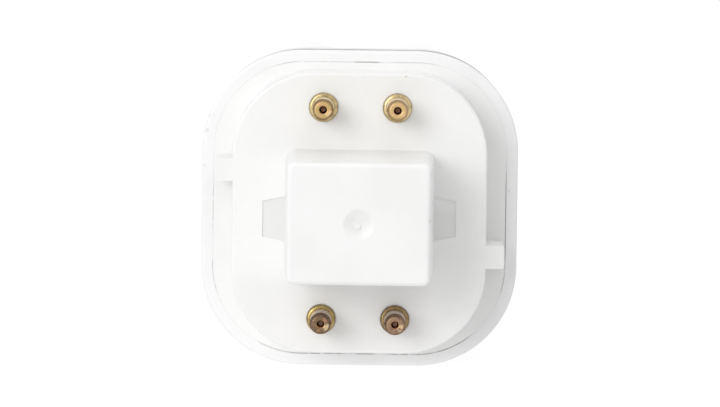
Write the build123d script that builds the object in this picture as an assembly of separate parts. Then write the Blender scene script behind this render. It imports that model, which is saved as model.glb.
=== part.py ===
"""Pin base compact fluorescent lamp: a four-limb discharge tube on a moulded cap with four pins.

All sizes are in millimetres. The lamp lies on one side of its square housing, with its axis along Y.
The cap faces -Y, the tube reaches along +Y and +Z is up. The origin is the centre of the cap's
reference face, which stops against the lampholder.
"""
import os
from math import cos, radians, sin, tan

from build123d import *

# Platform of the cap: its outer face is the reference face
platform_width = 27.6
platform_height = 30.4
platform_corner_r = 8.9
platform_rise = 8.0
platform_draft = 0.5
platform_edge_r = 0.25
platform_face_thickness = 1.8
cap_wall = 1.5

# Flange of the cap, which closes the housing, and the two hooks behind it
flange_size = 32.2
flange_corner_r = 9.85
flange_thickness = 2.0
hook_width = 6.0
hook_thickness = 1.1
hook_barb = 0.55
hook_length = 3.2

# Keys that tell one lamp rating from another, one on each side of the platform
key_width = 2.5
key_reach = 15.8
key_offset = 4.6
key_edge_r = 0.3

# Centre post, with a catch notch and a moulded recess on each side
post_width = 16.2
post_height = 13.85
post_corner_r = 1.2
post_length = 16.5
post_draft = 1.75
post_edge_r = 0.5
post_wall = 1.5
notch_height = 4.0
notch_depth = 0.9
notch_start = 5.6
notch_length = 2.8
recess_reach = 10.5
recess_outer_height = 3.9
recess_inner_height = 4.85
recess_depth = 0.15
recess_centre = -0.58
recess_skew = 0.12

# Gate mark in the middle of the post's end
dimple_r = 1.6
dimple_depth = 0.34
dimple_edge_r = 0.3
gate_r = 0.26
gate_height = 0.18
gate_edge_r = 0.1
gate_drop = 0.28

# Contact pins: hollow turned brass, riveted through the platform
pin_spacing_x = 8.0
pin_spacing_z = 23.0
pin_length = 6.5
pin_r = 1.18
pin_tip_r = 0.94
pin_tip_length = 1.1
pin_tip_edge_r = 0.14
pin_hole_r = 0.42
pin_mouth_edge_r = 0.12
pin_hole_length = 2.4
pin_bore_r = 0.7
pin_flange_r = 1.56
pin_flange_height = 0.65
pin_seat_depth = 0.15
pin_flange_edge_r = 0.25
pin_rivet_r = 1.65
pin_rivet_thickness = 0.45
pin_boss_r = 2.6
pin_boss_height = 1.2
pin_clearance = 0.05

# Housing: the square shell that holds the tube
housing_size = 34.8
housing_corner_r = 11.1
housing_depth = 11.5
housing_draft = 0.55
housing_wall = 1.6
housing_end_wall = 1.6
housing_rim_edge_r = 0.35
housing_end_edge_r = 1.2
ledge_width = 1.0
ledge_thickness = 1.2
seam_clearance = 0.025
hook_clearance = 0.1
socket_depth = 6.0
socket_wall = 1.1

# Discharge tube: four glass limbs joined in one winding path
limb_r = 6.0
limb_pitch = 15.0
tube_end = 149.0
limb_start = 12.6
limb_dome_r = 4.6
limb_root_edge_r = 2.6
bridge_r = 3.6
bridge_blend_r = 0.8
far_bridge_inset = 9.5
near_bridge_gap = 5.5
exhaust_r = 1.5
exhaust_length = 4.2

# Cement round each limb in its socket
cement_thickness = 0.5
cement_bead = 0.7
cement_clearance = 0.04

# Lead wires from the electrodes to the pins
lead_r = 0.25
lead_spread = 2.15
lead_angle = 110.0
lead_bend_r = 1.5
lead_slack = 2.3
lead_end_inset = 1.2

rim_y = platform_rise
flange_back_y = rim_y + flange_thickness
ledge_back_y = flange_back_y + ledge_thickness
housing_end_y = rim_y + housing_depth
ledge_opening = flange_size - 2 * ledge_width
socket_r = limb_r + cement_thickness + 2 * cement_clearance
pin_places = {
    "top_left": (-pin_spacing_x / 2, pin_spacing_z / 2),
    "top_right": (pin_spacing_x / 2, pin_spacing_z / 2),
    "bottom_left": (-pin_spacing_x / 2, -pin_spacing_z / 2),
    "bottom_right": (pin_spacing_x / 2, -pin_spacing_z / 2),
}
limb_places = {
    "upper_left": (-limb_pitch / 2, limb_pitch / 2),
    "upper_right": (limb_pitch / 2, limb_pitch / 2),
    "lower_left": (-limb_pitch / 2, -limb_pitch / 2),
    "lower_right": (limb_pitch / 2, -limb_pitch / 2),
}


def prism(outline, start, end, draft=0.0):
    """Extrudes an outline that lies across the lamp's axis, narrowing by draft degrees on the way."""
    way = 1 if end > start else -1
    plane = Plane((0, start, 0), x_dir=(-way, 0, 0), z_dir=(0, way, 0))
    return extrude(plane * outline, abs(end - start), taper=draft)


def along_axis(radius, start, end, place=(0, 0)):
    """Round bar parallel to the lamp's axis."""
    return Pos(place[0], 0, place[1]) * prism(Circle(radius), start, end)


def edges_at(solid, y):
    """Edges that lie in the plane across the axis at y."""
    return solid.edges().filter_by_position(Axis.Y, y - 0.001, y + 0.001)


def platform_block():
    """Outer form of the raised platform, with its soft edge round the reference face."""
    growth = 2 * platform_rise * tan(radians(platform_draft))
    root = RectangleRounded(platform_width + growth, platform_height + growth,
                            platform_corner_r + growth / 2)
    block = prism(root, rim_y, 0, platform_draft)
    return fillet(edges_at(block, 0), platform_edge_r)


def key_block(side):
    """One key, flush with the reference face and standing on the flange."""
    root_x = platform_width / 2 - platform_edge_r - cap_wall / 2
    length = key_reach - root_x
    block = prism(Rectangle(length, key_width), rim_y, 0)
    block = Pos(side * (root_x + length / 2), 0, -side * key_offset) * block
    corners = block.edges().filter_by(Axis.Y).group_by(Axis.X)[-1 if side > 0 else 0]
    return fillet(corners, key_edge_r)


def post_block():
    """Outer form of the centre post, drafted towards its rounded end."""
    block = prism(RectangleRounded(post_width, post_height, post_corner_r), 0, -post_length, post_draft)
    return fillet(edges_at(block, -post_length), post_edge_r)


def catch_notch(side):
    """Notch in the post's side where the lampholder's spring catches."""
    half_width = post_width / 2 - (notch_start + notch_length / 2) * tan(radians(post_draft))
    outer = half_width + post_wall
    inner = half_width - notch_depth
    centre_y = -notch_start - notch_length / 2
    return Pos(side * (outer + inner) / 2, centre_y, 0) * Box(outer - inner, notch_length, notch_height)


def side_recess(side):
    """Shallow moulded recess in the platform beside the post, wider next to the post."""
    inner = post_width / 2
    middle = recess_centre + side * recess_skew
    outline = Polygon(
        (inner, middle + recess_inner_height / 2),
        (recess_reach, middle + recess_outer_height / 2),
        (recess_reach, middle - recess_outer_height / 2),
        (inner, middle - recess_inner_height / 2),
        align=None,
    )
    if side < 0:
        outline = mirror(outline, Plane.YZ)
    plane = Plane((0, recess_depth, 0), x_dir=(1, 0, 0), z_dir=(0, -1, 0))
    return extrude(plane * outline, recess_depth + platform_edge_r, dir=(0, -1, 0))


def gate_dimple():
    """Bowl round the gate mark: a shallow cap of a sphere."""
    sphere_r = (dimple_r ** 2 + dimple_depth ** 2) / (2 * dimple_depth)
    return Pos(0, -post_length - sphere_r + dimple_depth, 0) * Sphere(sphere_r)


def gate_mark():
    """Rounded stub left in the bowl, a little below its middle, where the plastic flowed in."""
    foot_y = -post_length + dimple_depth
    tip_y = foot_y - gate_height
    stub = along_axis(gate_r, foot_y + post_wall / 4, tip_y, (0, -gate_drop))
    return fillet(edges_at(stub, tip_y), gate_edge_r)


def hook(side):
    """Snap hook behind the flange, whose barb catches behind the housing's ledge."""
    outer = ledge_opening / 2 - hook_clearance
    inner = outer - hook_thickness
    catch_y = ledge_back_y + hook_clearance
    outline = Polygon(
        (inner, flange_back_y - flange_thickness / 2),
        (outer, flange_back_y - flange_thickness / 2),
        (outer, catch_y),
        (outer + hook_barb, catch_y),
        (outer, flange_back_y + hook_length),
        (inner, flange_back_y + hook_length),
        align=None,
    )
    block = extrude(outline, hook_width / 2, both=True)
    return block if side > 0 else mirror(block, Plane.YZ)


def base_cap():
    """The moulded cap: flange, platform, keys and hollow post in one piece."""
    flange = prism(RectangleRounded(flange_size, flange_size, flange_corner_r), rim_y, flange_back_y)
    body = flange + platform_block() + key_block(1) + key_block(-1) + post_block()
    cavity = prism(
        RectangleRounded(platform_width - 2 * cap_wall, platform_height - 2 * cap_wall,
                         platform_corner_r - cap_wall),
        flange_back_y, platform_face_thickness)
    post_cavity = prism(
        RectangleRounded(post_width - 2 * post_wall, post_height - 2 * post_wall, post_corner_r / 2),
        platform_face_thickness, -post_length + post_wall, post_draft)
    body = body - cavity - post_cavity
    body = body + hook(1) + hook(-1)
    boss_end_y = platform_face_thickness + pin_boss_height
    for place in pin_places.values():
        body = body + along_axis(pin_boss_r, platform_face_thickness / 2, boss_end_y, place)
    for place in pin_places.values():
        body = body - along_axis(pin_r + pin_clearance, 0, boss_end_y, place)
        body = body - along_axis(pin_flange_r + pin_clearance, -platform_edge_r, pin_seat_depth, place)
        body = body - along_axis(pin_rivet_r + pin_clearance, boss_end_y, flange_back_y, place)
    for side in (1, -1):
        body = body - side_recess(side) - catch_notch(side)
    body = body - gate_dimple()
    rim = body.edges().filter_by(GeomType.CIRCLE).filter_by_position(
        Axis.Y, -post_length - 0.001, -post_length + 0.001).sort_by(SortBy.RADIUS)[-1]
    body = fillet(rim, dimple_edge_r)
    return body + gate_mark()


def contact_pin(place):
    """One pin: riveted end inside, flange seated in the platform, stepped tip with the wire's hole."""
    rivet_y = platform_face_thickness + pin_boss_height
    rivet_end_y = rivet_y + pin_rivet_thickness
    step = pin_r - pin_tip_r
    outline = Polyline(
        (pin_bore_r, rivet_end_y),
        (pin_rivet_r, rivet_end_y),
        (pin_rivet_r, rivet_y),
        (pin_r, rivet_y),
        (pin_r, pin_seat_depth),
        (pin_flange_r, pin_seat_depth),
        (pin_flange_r, -pin_flange_height),
        (pin_r, -pin_flange_height),
        (pin_r, -pin_length + pin_tip_length),
        (pin_tip_r, -pin_length + pin_tip_length - step),
        (pin_tip_r, -pin_length),
        (pin_hole_r, -pin_length),
        (pin_hole_r, -pin_length + pin_hole_length),
        (pin_bore_r, -pin_length + pin_hole_length + pin_bore_r - pin_hole_r),
        close=True,
    )
    profile = make_face(outline)
    rims = [
        ((pin_flange_r, -pin_flange_height), pin_flange_edge_r),
        ((pin_tip_r, -pin_length), pin_tip_edge_r),
        ((pin_hole_r, -pin_length), pin_mouth_edge_r),
        ((pin_rivet_r, rivet_end_y), pin_rivet_thickness / 2),
    ]
    for (x, y), radius in rims:
        corner = profile.vertices().sort_by_distance((x, y, 0))[0]
        profile = fillet(corner, radius)
    return Pos(place[0], 0, place[1]) * revolve(profile, Axis.Y)


def housing():
    """Outer shell: square with large corners, an opening for the cap and four sockets for the limbs."""
    outer = prism(RectangleRounded(housing_size, housing_size, housing_corner_r),
                  rim_y, housing_end_y, housing_draft)
    outer = fillet(edges_at(outer, rim_y), housing_rim_edge_r)
    outer = fillet(edges_at(outer, housing_end_y), housing_end_edge_r)
    seat = flange_size + 2 * seam_clearance
    inner = housing_size - 2 * housing_wall
    cavity_end_y = housing_end_y - housing_end_wall
    mouth = prism(RectangleRounded(seat, seat, flange_corner_r + seam_clearance), rim_y, flange_back_y)
    ledge_gap = prism(RectangleRounded(ledge_opening, ledge_opening, flange_corner_r - ledge_width),
                      rim_y, ledge_back_y)
    cavity = prism(RectangleRounded(inner, inner, housing_corner_r - housing_wall),
                   ledge_back_y, cavity_end_y, housing_draft)
    shell = outer - mouth - ledge_gap - cavity
    socket_start_y = housing_end_y - socket_depth
    for place in limb_places.values():
        shell = shell + along_axis(socket_r + socket_wall, socket_start_y,
                                   housing_end_y - housing_end_wall / 2, place)
    for place in limb_places.values():
        shell = shell - along_axis(socket_r, socket_start_y, housing_end_y, place)
    return shell


def limb(place):
    """One glass limb, domed at the far end and closed with a rounded shoulder inside the housing."""
    bar = along_axis(limb_r, limb_start, tube_end, place)
    bar = fillet(edges_at(bar, tube_end), limb_dome_r)
    return fillet(edges_at(bar, limb_start), limb_root_edge_r)


def bridge(first, second, y):
    """Short glass tube between two limbs, from axis to axis."""
    start = limb_places[first]
    end = limb_places[second]
    plane = Plane((start[0], y, start[1]), z_dir=(end[0] - start[0], 0, end[1] - start[1]))
    return extrude(plane * Circle(bridge_r), limb_pitch)


def exhaust_tip(place):
    """Sealed stub that the limb was pumped out through, beside the electrode's two wires."""
    tip_y = limb_start - exhaust_length
    stub = along_axis(exhaust_r, limb_start + limb_root_edge_r, tip_y, place)
    return fillet(edges_at(stub, tip_y), exhaust_r * 0.9)


def discharge_tube():
    """Four limbs in one path: across at both far ends, and down once just outside the housing."""
    far_y = tube_end - far_bridge_inset
    near_y = housing_end_y + near_bridge_gap
    glass = Part()
    for place in limb_places.values():
        glass = glass + limb(place)
    glass = glass + bridge("upper_left", "upper_right", far_y)
    glass = glass + bridge("lower_left", "lower_right", far_y)
    glass = glass + bridge("upper_right", "lower_right", near_y)
    joints = [edge for edge in glass.edges()
              if edge.geom_type not in (GeomType.CIRCLE, GeomType.LINE)]
    glass = fillet(joints, bridge_blend_r)
    for name in ("upper_left", "lower_left"):
        glass = glass + exhaust_tip(limb_places[name])
    return glass


def tube_cement(place):
    """Ring of cement in the socket, with a small bead where it swelled out round the limb."""
    inner = limb_r + cement_clearance
    outer = socket_r - cement_clearance
    start_y = housing_end_y - socket_depth
    profile = make_face(Polyline(
        (inner, start_y),
        (outer, start_y),
        (outer, housing_end_y + cement_clearance),
        (outer + cement_bead / 2, housing_end_y + cement_clearance),
        (inner, housing_end_y + cement_clearance + cement_bead),
        close=True,
    ))
    return Pos(place[0], 0, place[1]) * revolve(profile, Axis.Y)


def lead_wire(limb_name, side, pin_name):
    """Wire from an electrode's seal, across the cap's hollow and through a pin to its tip."""
    limb_x, limb_z = limb_places[limb_name]
    pin_x, pin_z = pin_places[pin_name]
    up = 1 if pin_z > 0 else -1
    start_x = limb_x + side * lead_spread * cos(radians(lead_angle))
    start_z = limb_z + side * lead_spread * sin(radians(lead_angle)) * up
    pin_entry_y = platform_face_thickness + pin_boss_height + pin_rivet_thickness
    route = [
        (start_x, limb_start, start_z),
        (start_x, limb_start - lead_slack, start_z),
        (pin_x, pin_entry_y + lead_slack, pin_z),
        (pin_x, -pin_length + lead_end_inset, pin_z),
    ]
    path = FilletPolyline(*route, radius=lead_bend_r)
    section = Plane(origin=route[0], z_dir=(0, -1, 0)) * Circle(lead_r)
    return sweep(section, path)


pieces = {
    "housing": housing(),
    "base_cap": base_cap(),
    "discharge_tube": discharge_tube(),
}
for name, place in pin_places.items():
    pieces[f"contact_pin_{name}"] = contact_pin(place)
for name, place in limb_places.items():
    pieces[f"tube_cement_{name}"] = tube_cement(place)
for row in ("top", "bottom"):
    electrode = "upper_left" if row == "top" else "lower_left"
    pieces[f"lead_wire_{row}_left"] = lead_wire(electrode, 1, f"{row}_left")
    pieces[f"lead_wire_{row}_right"] = lead_wire(electrode, -1, f"{row}_right")

os.makedirs("parts", exist_ok=True)
for name, piece in pieces.items():
    piece.label = name
    export_step(piece, f"parts/{name}.step")
    print(name, round(piece.volume, 2), "mm3")
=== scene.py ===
from math import cos, radians, sin

import bpy
from mathutils import Matrix, Vector


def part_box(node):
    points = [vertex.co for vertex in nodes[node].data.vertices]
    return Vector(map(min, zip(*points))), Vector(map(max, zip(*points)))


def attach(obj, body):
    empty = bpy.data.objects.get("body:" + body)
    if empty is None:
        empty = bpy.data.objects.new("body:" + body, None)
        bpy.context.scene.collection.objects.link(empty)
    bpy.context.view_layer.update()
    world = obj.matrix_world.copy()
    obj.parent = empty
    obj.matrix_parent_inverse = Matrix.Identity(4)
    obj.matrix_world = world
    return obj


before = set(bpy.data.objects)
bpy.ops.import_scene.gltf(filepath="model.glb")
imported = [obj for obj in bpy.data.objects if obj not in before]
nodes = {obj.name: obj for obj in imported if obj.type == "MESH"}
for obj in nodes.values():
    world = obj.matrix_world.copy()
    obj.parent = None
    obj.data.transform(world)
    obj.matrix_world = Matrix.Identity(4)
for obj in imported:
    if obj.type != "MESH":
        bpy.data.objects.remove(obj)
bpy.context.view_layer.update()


# Housing. A square shell with large corners, moulded in white plastic, that holds the glass tube.
# Its rim frames the cap. Its side has a little painted shade just behind the rim, above all on the top.
class Shade:
    """A value or colour in a material. Arithmetic on it adds Math nodes, node() adds any other."""

    def __init__(self, tree, socket=None):
        self.tree = tree
        self.socket = socket

    def node(self, kind, settings, inputs, output=0):
        """A new node: its settings come first, then the values or links of its sockets."""
        made = self.tree.nodes.new("ShaderNode" + kind)
        for name, value in settings.items():
            setattr(made, name, value)
        for name, value in inputs.items():
            if isinstance(value, Shade):
                self.tree.links.new(value.socket, made.inputs[name])
            else:
                made.inputs[name].default_value = value
        return Shade(self.tree, made.outputs[output])

    def maths(self, operation, *values):
        return self.node("Math", {"operation": operation}, dict(enumerate(values)))

    def __add__(self, other):
        return self.maths("ADD", self, other)

    def __sub__(self, other):
        return self.maths("SUBTRACT", self, other)

    def __rsub__(self, other):
        return self.maths("SUBTRACT", other, self)

    def __mul__(self, other):
        return self.maths("MULTIPLY", self, other)

    __radd__ = __add__
    __rmul__ = __mul__

    def larger(self, other):
        return self.maths("MAXIMUM", self, other)

    def smaller(self, other):
        return self.maths("MINIMUM", self, other)

    def size(self):
        return self.maths("ABSOLUTE", self)

    def root(self):
        return self.maths("SQRT", self)

    def part(self, axis):
        """One coordinate of a vector."""
        return self.node("SeparateXYZ", {}, {0: self}, axis)

    def fade(self, near, far):
        """1 up to near, falling smoothly to 0 at far."""
        span = {"From Min": near, "From Max": far, "To Min": 1.0, "To Max": 0.0}
        return self.node("MapRange", {"interpolation_type": "SMOOTHSTEP"}, {"Value": self, **span})

    def rise(self, near, far):
        """0 up to near, rising smoothly to 1 at far."""
        span = {"From Min": near, "From Max": far, "To Min": 0.0, "To Max": 1.0}
        return self.node("MapRange", {"interpolation_type": "SMOOTHSTEP"}, {"Value": self, **span})

    def tint(self, colour, marked_colour):
        """Mixes two colours by this value, from colour at 0 to marked_colour at 1."""
        return self.node("Mix", {"data_type": "RGBA"}, {0: self, 6: colour, 7: marked_colour}, 2)

    def spot(self, centre, radius):
        """1 about a point of the object, fading to 0 at radius."""
        inputs = {0: self, 1: centre}
        distance = self.node("VectorMath", {"operation": "DISTANCE"}, inputs, "Value")
        return distance.fade(radius * 0.4, radius)

    def noise(self, scale, detail=2.0):
        """Noise of about the given feature size in metres, centred on 0.5."""
        return self.node("TexNoise", {}, {"Vector": self, "Scale": 1 / scale, "Detail": detail})


def new_material(name, **constants):
    """A material with its constant sockets set, its surface shader and its object coordinates."""
    material = bpy.data.materials.new(name)
    material.use_nodes = True
    surface = material.node_tree.nodes["Principled BSDF"]
    for socket, value in constants.items():
        surface.inputs[socket.replace("_", " ").title().replace("Ior", "IOR")].default_value = value
    place = Shade(material.node_tree).node("TexCoord", {}, {}, "Object")
    return material, surface, place


def feed(node, socket, value):
    node.id_data.links.new(value.socket, node.inputs[socket])


def bump(place, height, distance):
    return place.node("Bump", {}, {"Height": height, "Distance": distance}, "Normal")


def darker(colour, share):
    return tuple(share * part for part in colour[:3]) + (1.0,)


def ring_distance(place, half_size, corner_r):
    """Distance from a square ring with round corners, seen along the lamp's axis."""
    x = place.part("X").size() - (half_size - corner_r)
    z = place.part("Z").size() - (half_size - corner_r)
    outer_x = x.larger(0.0)
    outer_z = z.larger(0.0)
    outside = (outer_x * outer_x + outer_z * outer_z).root()
    return (outside + x.larger(z).smaller(0.0) - corner_r).size()


housing_white = (0.87, 0.87, 0.87, 1.0)
rim_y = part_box("housing")[0].y
flange_half_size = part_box("base_cap")[1].x
flange_corner_r = 0.00985
seam_gap = 0.000025
seam_half_size = flange_half_size + seam_gap / 2
seam_corner_r = flange_corner_r + seam_gap / 2
# Dust and painted shade of the hairline, for the dark stretches of the seam
seam_dust_and_shade = (0.16, 0.14, 0.12, 1.0)
seam_dark_patch = 0.0011

# The middle, reach and strength of each stretch of the seam darkened by dust and painted shade
dark_seam_stretches = [
    ((-0.0070, rim_y, 0.0161), 0.0034, 0.35),
    ((-0.0036, rim_y, seam_half_size), 0.0042, 0.25),
    ((0.0006, rim_y, seam_half_size), 0.0021, 0.9),
    ((0.0056, rim_y, seam_half_size), 0.0034, 0.3),
    ((seam_half_size, rim_y, -0.0012), 0.0076, 0.8),
    ((seam_half_size, rim_y, -0.0060), 0.0046, 0.5),
    ((0.0105, rim_y, -0.0152), 0.0030, 0.8),
    ((0.0060, rim_y, -seam_half_size), 0.0036, 0.8),
    ((0.0, rim_y, -seam_half_size), 0.0026, 0.8),
    ((-0.0044, rim_y, -seam_half_size), 0.0052, 0.8),
    ((-0.0088, rim_y, -0.0158), 0.0034, 0.5),
    ((-0.0156, rim_y, -0.0080), 0.0034, 0.35),
    ((-seam_half_size, rim_y, 0.0), 0.0034, 0.3),
]


def seam_darkening(place):
    """How dark the seam between cap and housing is with dust and painted shade, from 0 to 1."""
    amount = 0.0
    for centre, radius, strength in dark_seam_stretches:
        amount = (place.spot(centre, radius) * strength).larger(amount)
    return amount * place.noise(seam_dark_patch, 3.0).rise(0.30, 0.50)


cloud_size = 0.006
cloud_shade = 0.965
seam_dark_near = 0.00003
seam_dark_far = 0.00009
seam_dark_on_moulding = 0.7
satin = 0.36
satin_spread = 0.12
satin_patch = 0.002
skin_grain = 0.00025
skin_wave = 0.003
skin_depth = 0.000006


def moulded_plastic(name, colour, specks):
    """White moulding with clouds, seam dust and painted shade, specks and a fine skin, and its tone for
    further marks.
    """
    material, surface, place = new_material(name, ior=1.5)
    tone = place.noise(cloud_size, 3.0).rise(0.35, 0.75).tint(colour, darker(colour, cloud_shade))
    near_seam = ring_distance(place, seam_half_size, seam_corner_r).fade(seam_dark_near, seam_dark_far)
    # Dust and painted shade from the seam reach a hair onto the moulding
    tone = (near_seam * seam_darkening(place) * seam_dark_on_moulding).tint(tone, seam_dust_and_shade)
    for centre, radius, speck_colour in specks:
        ragged = place.noise(radius * 0.8).rise(0.35, 0.55)
        tone = (place.spot(centre, radius) * ragged).tint(tone, speck_colour)
    feed(surface, "Base Color", tone)
    feed(surface, "Roughness", place.noise(satin_patch, 4.0) * satin_spread + satin)
    skin = place.noise(skin_grain, 3.0) * 0.6 + place.noise(skin_wave)
    feed(surface, "Normal", bump(place, skin, skin_depth))
    return material, surface, place, tone


rim_smudge = (0.70, 0.70, 0.69, 1.0)
rim_specks = [
    ((0.0164, rim_y, 0.0021), 0.00022, rim_smudge),
    ((-0.0171, rim_y, 0.0045), 0.0002, rim_smudge),
    ((-0.0169, rim_y, 0.0084), 0.0003, rim_smudge),
    ((-0.0167, rim_y, 0.0101), 0.0003, rim_smudge),
]
# Painted shade for the side just behind the rim, deeper at its top right corner
painted_top_shade = (0.27, 0.27, 0.29, 1.0)
top_shade_start_y = rim_y + 0.0002
top_shade_full_y = rim_y + 0.0004
top_shade_fade_y = rim_y + 0.0026
top_shade_end_y = rim_y + 0.0066
top_shade_low_z, top_shade_high_z = 0.004, 0.013
lighter_to_x, darker_from_x = -0.0110, -0.0060
top_shade_at_left = 0.4
top_shade_patch = 0.0015
painted_corner_shade = (0.15, 0.15, 0.165, 1.0)
corner_middle = (0.0140, rim_y + 0.0020, 0.0140)
corner_reach = 0.0085
corner_strength = 0.8

shell, surface, place, tone = moulded_plastic("housing plastic", housing_white, rim_specks)
# Painted shade on the side just behind the rim: most on the top and at the top right corner, less on
# the left, patchy
y = place.part("Y")
behind_rim = y.rise(top_shade_start_y, top_shade_full_y) * y.fade(top_shade_fade_y, top_shade_end_y)
near_top = place.part("Z").rise(top_shade_low_z, top_shade_high_z)
darker_to_right = place.part("X").rise(lighter_to_x, darker_from_x) * (1 - top_shade_at_left) + top_shade_at_left
uneven = place.noise(top_shade_patch, 3.0).rise(0.2, 0.6) * 0.5 + 0.5
tone = (behind_rim * near_top * darker_to_right * uneven).tint(tone, painted_top_shade)
at_corner = place.spot(corner_middle, corner_reach) * corner_strength
feed(surface, "Base Color", (behind_rim * at_corner).tint(tone, painted_corner_shade))
nodes["housing"].data.materials[0] = shell


# Seam. A fine bead of moulding flash and dust closes the hairline between the cap and the housing.
# It is white where the two meet closely, and dark with dust and painted shade in some stretches.
bead_r = 0.00003
bead_sink = 0.00002
bead_sides = 8
corner_steps = 48
beads = bpy.data.node_groups.new("seam bead", "GeometryNodeTree")
beads.interface.new_socket("Geometry", in_out="OUTPUT", socket_type="NodeSocketGeometry")
for name in ("Size", "Corner radius", "Bead radius", "Place"):
    beads.interface.new_socket(name, in_out="INPUT", socket_type="NodeSocketFloat")
beads.interface.new_socket("Material", in_out="INPUT", socket_type="NodeSocketMaterial")
given = beads.nodes.new("NodeGroupInput")
square = beads.nodes.new("GeometryNodeCurvePrimitiveQuadrilateral")
rounded = beads.nodes.new("GeometryNodeFilletCurve")
rounded.mode = "POLY"
rounded.inputs["Count"].default_value = corner_steps
section = beads.nodes.new("GeometryNodeCurvePrimitiveCircle")
section.inputs["Resolution"].default_value = bead_sides
swept = beads.nodes.new("GeometryNodeCurveToMesh")
stood = beads.nodes.new("GeometryNodeTransform")
stood.inputs["Rotation"].default_value = (radians(90), 0.0, 0.0)
shift = beads.nodes.new("ShaderNodeCombineXYZ")
realised = beads.nodes.new("GeometryNodeRealizeInstances")
coated = beads.nodes.new("GeometryNodeSetMaterial")
finished = beads.nodes.new("NodeGroupOutput")
for start, start_name, end, end_name in (
    (given, "Size", square, "Width"),
    (given, "Size", square, "Height"),
    (square, "Curve", rounded, "Curve"),
    (given, "Corner radius", rounded, "Radius"),
    (given, "Bead radius", section, "Radius"),
    (rounded, "Curve", swept, "Curve"),
    (section, "Curve", swept, "Profile Curve"),
    (swept, "Mesh", stood, "Geometry"),
    (given, "Place", shift, "Y"),
    (shift, "Vector", stood, "Translation"),
    (stood, "Geometry", realised, "Geometry"),
    (realised, "Geometry", coated, "Geometry"),
    (given, "Material", coated, "Material"),
    (coated, "Geometry", finished, "Geometry"),
):
    beads.links.new(start.outputs[start_name], end.inputs[end_name])

cap_white = (0.87, 0.87, 0.865, 1.0)
flash_shade = (0.66, 0.64, 0.60, 1.0)
flash_patch = 0.004
flash_least = 0.3
flash_spread = 0.6
seam_material, surface, place = new_material("seam bead", roughness=0.6, ior=1.5)
shaded = place.noise(flash_patch, 3.0).rise(0.35, 0.6) * flash_spread + flash_least
tone = shaded.tint(cap_white, flash_shade)
# Dust and painted shade darken stretches of the bead
feed(surface, "Base Color", seam_darkening(place).tint(tone, seam_dust_and_shade))

bead = bpy.data.objects.new("seam_bead", bpy.data.meshes.new("seam bead"))
bpy.context.scene.collection.objects.link(bead)
maker = bead.modifiers.new("seam bead", "NODES")
maker.node_group = beads
settings = {
    "Size": 2 * seam_half_size,
    "Corner radius": seam_corner_r,
    "Bead radius": bead_r,
    "Place": rim_y + bead_sink + bead_r,
    "Material": seam_material,
}
for item in beads.interface.items_tree:
    if item.name in settings:
        maker[item.identifier] = settings[item.name]
bpy.context.view_layer.update()
shape = bpy.data.meshes.new_from_object(bead.evaluated_get(bpy.context.evaluated_depsgraph_get()))
bead.modifiers.remove(maker)
bead.data = shape
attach(bead, "root")


# Cap. One white moulding: the flange that closes the housing, the raised platform with its two
# keys, and the hollow centre post, whose end keeps the gate mark of the mould, greyed with painted
# shade. The floors of the recesses beside the post are greyed a little with painted shade, but for
# the upper half of the right one.
faint_brown = (0.68, 0.63, 0.57, 1.0)
pinkish = (0.80, 0.70, 0.67, 1.0)
dimple_shade = (0.81, 0.81, 0.80, 1.0)
cap_specks = [
    # Painted shade greys the gate dimple on the post's end
    ((0.0, -0.0164, 0.0001), 0.0020, dimple_shade),
    ((0.00745, -0.0163, 0.0005), 0.0003, faint_brown),
    ((0.0078, -0.0142, 0.0003), 0.0011, pinkish),
    ((0.0049, 0.0, 0.0149), 0.0002, faint_brown),
]
# Painted shade for the floors of the recesses beside the post
painted_recess_shade = (0.775, 0.775, 0.77, 1.0)
recess_start_y, recess_full_y = 0.0001, 0.00014
recess_fade_y, recess_end_y = 0.0002, 0.0004
recess_inner_x = 0.0071
recess_outer_x = 0.0108
recess_edge = 0.0001
pale_from_x, pale_to_x = 0.0, 0.001
pale_from_z, pale_to_z = -0.0002, 0.0014

cap, surface, place, tone = moulded_plastic("cap plastic", cap_white, cap_specks)
x = place.part("X")
y = place.part("Y")
from_middle = x.size()
past_post = from_middle.rise(recess_inner_x - recess_edge, recess_inner_x + recess_edge)
before_side = from_middle.fade(recess_outer_x - recess_edge, recess_outer_x + recess_edge)
at_depth = y.rise(recess_start_y, recess_full_y) * y.fade(recess_fade_y, recess_end_y)
pale_top = x.rise(pale_from_x, pale_to_x) * place.part("Z").rise(pale_from_z, pale_to_z)
# Painted shade on the recess floors, left off the upper half of the right one
recess_shade = at_depth * past_post * before_side * (1 - pale_top)
feed(surface, "Base Color", recess_shade.tint(tone, painted_recess_shade))
nodes["base_cap"].data.materials[0] = cap


# Contact pins. Four hollow brass pins, turned and then riveted through the platform: an olive
# collar, a pale barrel that is a painted highlight, a dark shoulder and a tip, which has tarnished
# brown on the lower two and carries a painted gold highlight low on its right. The wall of each
# hole is painted light, a bright warm orange near its mouth.
# The barrel's pale band, a painted highlight, fades in between these two
highlight_ends_y, barrel_y = -0.0022, -0.0030
shoulder_y = -0.0054
shoulder_edge = 0.00004
ragged_reach = 0.0003
ragged_patch = 0.0006
tip_rim_y, tip_face_y = -0.00638, -0.00644
hole_r = 0.00042
hole_edge = 0.00006
hole_bright_y, hole_dim_y = -0.004, -0.0035
# Painted light on each hole's wall, and a painted gold highlight low on each tip's right
painted_hole_light = (0.85, 0.52, 0.26, 1.0)
tip_glint_gold = (0.78, 0.60, 0.36, 1.0)
glint_right, glint_down = 0.0008, 0.0004
glint_reach = 0.0006
glint_strength = 0.7
collar_shade = 0.7
collar_patch = 0.0007
fleck_size = 0.00035
polish = 0.18
polish_spread = 0.2
polish_patch = 0.0005
rougher_on_tip = 0.1
turning_grain = 0.00018
turning_depth = 0.000012
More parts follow.
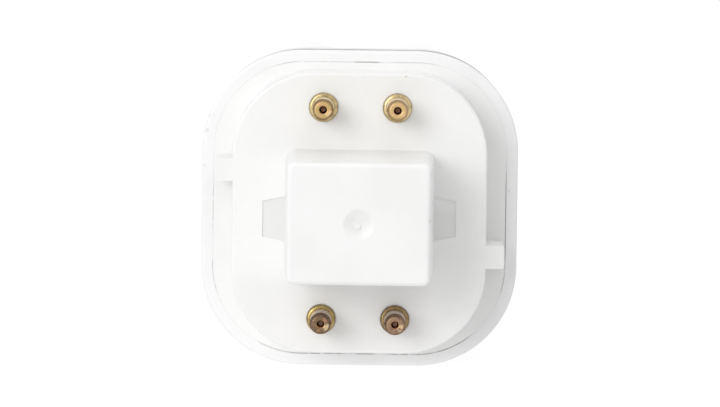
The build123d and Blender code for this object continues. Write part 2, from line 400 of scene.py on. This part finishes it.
pin_tones = {
    "top_left": {
        "collar": (0.55, 0.43, 0.22, 1.0),
        "barrel": (0.82, 0.71, 0.48, 1.0),
        "shoulder": (0.30, 0.20, 0.10, 1.0),
        "tip": (0.46, 0.335, 0.145, 1.0),
        "fleck": (0.55, 0.33, 0.16, 1.0),
    },
    "top_right": {
        "collar": (0.62, 0.49, 0.27, 1.0),
        "barrel": (0.86, 0.74, 0.52, 1.0),
        "shoulder": (0.38, 0.26, 0.14, 1.0),
        "tip": (0.53, 0.38, 0.17, 1.0),
        "fleck": (0.60, 0.38, 0.20, 1.0),
    },
    "bottom_left": {
        "collar": (0.42, 0.31, 0.13, 1.0),
        "barrel": (0.50, 0.38, 0.28, 1.0),
        "shoulder": (0.17, 0.11, 0.075, 1.0),
        "tip": (0.165, 0.11, 0.068, 1.0),
        "fleck": (0.30, 0.17, 0.10, 1.0),
    },
    "bottom_right": {
        "collar": (0.29, 0.20, 0.10, 1.0),
        "barrel": (0.50, 0.38, 0.29, 1.0),
        "shoulder": (0.20, 0.125, 0.085, 1.0),
        "tip": (0.285, 0.185, 0.115, 1.0),
        "fleck": (0.22, 0.13, 0.10, 1.0),
    },
}


def turned_brass(name, middle_x, middle_z, collar, barrel, shoulder, tip, fleck):
    """Brass in bands along one pin, with tarnish, flecks, painted highlights on barrel and tip, and
    painted light in its hole.
    """
    material, surface, place = new_material(name)
    x = place.part("X") - middle_x
    y = place.part("Y")
    z = place.part("Z") - middle_z
    off_axis = (x * x + z * z).root()
    patchy = place.noise(collar_patch, 3.0).rise(0.42, 0.66)
    tone = patchy.tint(collar, darker(collar, collar_shade))
    # A pale barrel: painted highlight
    tone = y.fade(barrel_y, highlight_ends_y).tint(tone, barrel)
    ragged_y = y + (place.noise(ragged_patch, 3.0) - 0.5) * ragged_reach
    past_barrel = ragged_y.fade(shoulder_y - shoulder_edge, shoulder_y + shoulder_edge)
    tone = past_barrel.tint(tone, shoulder)
    flecks = place.noise(fleck_size, 3.0).rise(0.52, 0.62)
    face = y.fade(tip_face_y, tip_rim_y)
    tone = face.tint(tone, flecks.tint(tip, fleck))
    # A painted gold highlight low on the right of the tip
    glint = place.spot((middle_x + glint_right, tip_rim_y, middle_z - glint_down), glint_reach)
    tone = (glint * (1 - flecks) * glint_strength).tint(tone, tip_glint_gold)
    # Painted light: the hole's wall a bright orange near its mouth
    in_hole = off_axis.fade(hole_r, hole_r + hole_edge) * y.fade(hole_bright_y, hole_dim_y)
    feed(surface, "Base Color", in_hole.tint(tone, painted_hole_light))
    feed(surface, "Metallic", 1 - in_hole)
    polished = place.noise(polish_patch, 3.0) * polish_spread + polish
    feed(surface, "Roughness", polished + face * rougher_on_tip)
    feed(surface, "Normal", bump(place, place.noise(turning_grain, 3.0), turning_depth))
    return material


for name, tones in pin_tones.items():
    pin_low, pin_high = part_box(f"contact_pin_{name}")
    pin_middle = (pin_low + pin_high) / 2
    brass = turned_brass(f"brass {name}", pin_middle.x, pin_middle.z, **tones)
    nodes[f"contact_pin_{name}"].data.materials[0] = brass


# Lead wires. Thin nickel-iron wires from the two filaments, threaded through the hollow pins,
# where their dull brown ends show as a point in each pin's hole.
wire_bright = (0.44, 0.40, 0.37, 1.0)
wire_dull = (0.30, 0.27, 0.25, 1.0)
wire_burnt = (0.30, 0.20, 0.15, 1.0)
wire_patch = 0.0005
burnt_y, bare_y = -0.0045, -0.004
wire_metal, surface, place = new_material("lead wire", roughness=0.5)
burnt = place.part("Y").fade(burnt_y, bare_y)
drawn = place.noise(wire_patch).tint(wire_dull, wire_bright)
feed(surface, "Base Color", burnt.tint(drawn, wire_burnt))
feed(surface, "Metallic", 1 - burnt)
for name, node in nodes.items():
    if name.startswith("lead_wire"):
        node.data.materials[0] = wire_metal


# Discharge tube. Four glass limbs in one winding path, coated white inside, so the glass looks
# like glossy porcelain. It has greyed a little near the filaments, at the housing's end.
coat_white = (0.82, 0.825, 0.81, 1.0)
coat_aged = (0.62, 0.60, 0.57, 1.0)
aged_to_y, white_from_y = 0.020, 0.034
aged_waver = 0.006
aged_strength = 0.5
glass, surface, place = new_material("coated glass", roughness=0.28, ior=1.5, coat_weight=1.0,
                                     coat_roughness=0.03)
wavering_y = place.part("Y") + (place.noise(aged_waver) - 0.5) * aged_waver
aged = wavering_y.fade(aged_to_y, white_from_y) * aged_strength
feed(surface, "Base Color", aged.tint(coat_white, coat_aged))
nodes["discharge_tube"].data.materials[0] = glass


# Cement. A ring of grey-white cement fills each socket round its limb. It was pressed in as a
# paste, and has set matt and a little grainy.
cement_grey = (0.70, 0.68, 0.64, 1.0)
cement_white = (0.82, 0.80, 0.76, 1.0)
cement_patch = 0.0008
cement_grain = 0.0004
cement_depth = 0.00006
cement, surface, place = new_material("tube cement", roughness=0.9)
feed(surface, "Base Color", place.noise(cement_patch, 4.0).tint(cement_grey, cement_white))
feed(surface, "Normal", bump(place, place.noise(cement_grain, 4.0), cement_depth))
for name, node in nodes.items():
    if name.startswith("tube_cement"):
        node.data.materials[0] = cement


# Floor. A pale table top. The lamp lies on the housing's rim and on the tube's far end, so the
# table runs up a little under the tube. It looks white but for a soft shadow, and it glows a
# little on the lamp, most right under the cap and least on the right.
pure_white = (1.0, 1.0, 1.0, 1.0)
table_grey = (0.6, 0.6, 0.6, 1.0)
glow_strength = 1.3
glow_share = 0.30
glow_added_near_cap = 0.28
glow_lost_on_right = 0.20
glow_share_seen = 0.65
floor_reach = 4.0
floor_clearance = 0.0001

housing_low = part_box("housing")[0]
tube_low, tube_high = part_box("discharge_tube")
slope = (tube_low.z - housing_low.z) / (tube_high.y - rim_y)
level = housing_low.z - floor_clearance
under_cap = (0.0, rim_y - 0.004, level)
under_cap_reach = 0.024
right_from_x, right_to_x = 0.004, 0.030
corners = [
    (x, y, level + slope * (y - rim_y))
    for x, y in ((-floor_reach, -floor_reach), (floor_reach, -floor_reach),
                 (floor_reach, floor_reach), (-floor_reach, floor_reach))
]
floor_mesh = bpy.data.meshes.new("floor")
floor_mesh.from_pydata(corners, [], [(0, 1, 2, 3)])
floor = bpy.data.objects.new("floor", floor_mesh)
bpy.context.scene.collection.objects.link(floor)


def backdrop_seen(shade):
    """1 for the rays that see the backdrop: from the camera, in gloss and through glass."""
    seen = shade.node("LightPath", {}, {}, "Is Camera Ray")
    seen = seen.larger(shade.node("LightPath", {}, {}, "Is Glossy Ray"))
    return seen.larger(shade.node("LightPath", {}, {}, "Is Transmission Ray"))


table_white, surface, place = new_material("table white", base_color=table_grey, roughness=0.9)
near_cap = place.spot(under_cap, under_cap_reach)
on_right = place.part("X").rise(right_from_x, right_to_x)
share = near_cap * glow_added_near_cap + glow_share - on_right * glow_lost_on_right
share = share.larger(backdrop_seen(place) * glow_share_seen)
lit = Shade(place.tree, surface.outputs["BSDF"])
glow = place.node("Emission", {}, {"Color": pure_white, "Strength": glow_strength})
mixed = place.node("MixShader", {}, {0: share, 1: lit, 2: glow})
feed(table_white.node_tree.nodes["Material Output"], "Surface", mixed)
floor_mesh.materials.append(table_white)


# Light. A large soft lamp thirty degrees off the lamp's axis, on the left and a little above it,
# with an even fill from all round that is stronger from above, as in a product photograph.
key_angle = radians(30)
key_turn = radians(30)
key_distance = 2.0
key_size = 1.0
key_power = 14.0
towards_key = Vector((-sin(key_angle) * cos(key_turn), -cos(key_angle), sin(key_angle) * sin(key_turn)))
key_data = bpy.data.lights.new("key", "AREA")
key_data.shape = "DISK"
key_data.size = key_size
key_data.energy = key_power
key = bpy.data.objects.new("key", key_data)
key.location = towards_key * key_distance
key.rotation_euler = towards_key.to_track_quat("Z", "Y").to_euler()
bpy.context.scene.collection.objects.link(key)

fill = 0.375
fill_from_above = 0.86
world = bpy.data.worlds.new("studio")
world.use_nodes = True
bpy.context.scene.world = world
shade = Shade(world.node_tree)
outwards = shade.node("TexCoord", {}, {}, "Generated")
fill_from_there = outwards.part("Z").larger(0.0) * fill_from_above + fill
sky = world.node_tree.nodes["Background"]
sky.inputs["Color"].default_value = pure_white
feed(sky, "Strength", backdrop_seen(shade) * (1 - fill_from_there) + fill_from_there)


# Camera. The photograph looks at the cap from half a metre, four degrees above the lamp's axis:
# the axis runs away to a point above the picture, and the lamp lies a touch clockwise in it.
photo_width, photo_height = 720, 407
axis_vanishes_at = (375.0, -125.0)
reference_face_at = (359.2, 213.5)
focal_px = 4702.0
face_distance = 0.510
roll = radians(0.75)
along_axis = Vector((
    axis_vanishes_at[0] - photo_width / 2,
    photo_height / 2 - axis_vanishes_at[1],
    -focal_px,
)).normalized()
rightwards = Vector((cos(roll), -sin(roll), 0.0))
rightwards = (rightwards - along_axis * rightwards.dot(along_axis)).normalized()
upwards = rightwards.cross(along_axis)
turn = Matrix((rightwards, along_axis, upwards))
face_in_view = Vector((
    (reference_face_at[0] - photo_width / 2) / focal_px,
    (photo_height / 2 - reference_face_at[1]) / focal_px,
    -1.0,
)) * face_distance
camera_data = bpy.data.cameras.new("camera")
camera_data.sensor_width = 36.0
camera_data.lens = focal_px / photo_width * camera_data.sensor_width
camera_data.clip_end = 20.0
camera = bpy.data.objects.new("camera", camera_data)
camera.matrix_world = Matrix.Translation(turn @ -face_in_view) @ turn.to_4x4()
bpy.context.scene.collection.objects.link(camera)
bpy.context.scene.camera = camera

bpy.context.scene.view_settings.view_transform = "Standard"
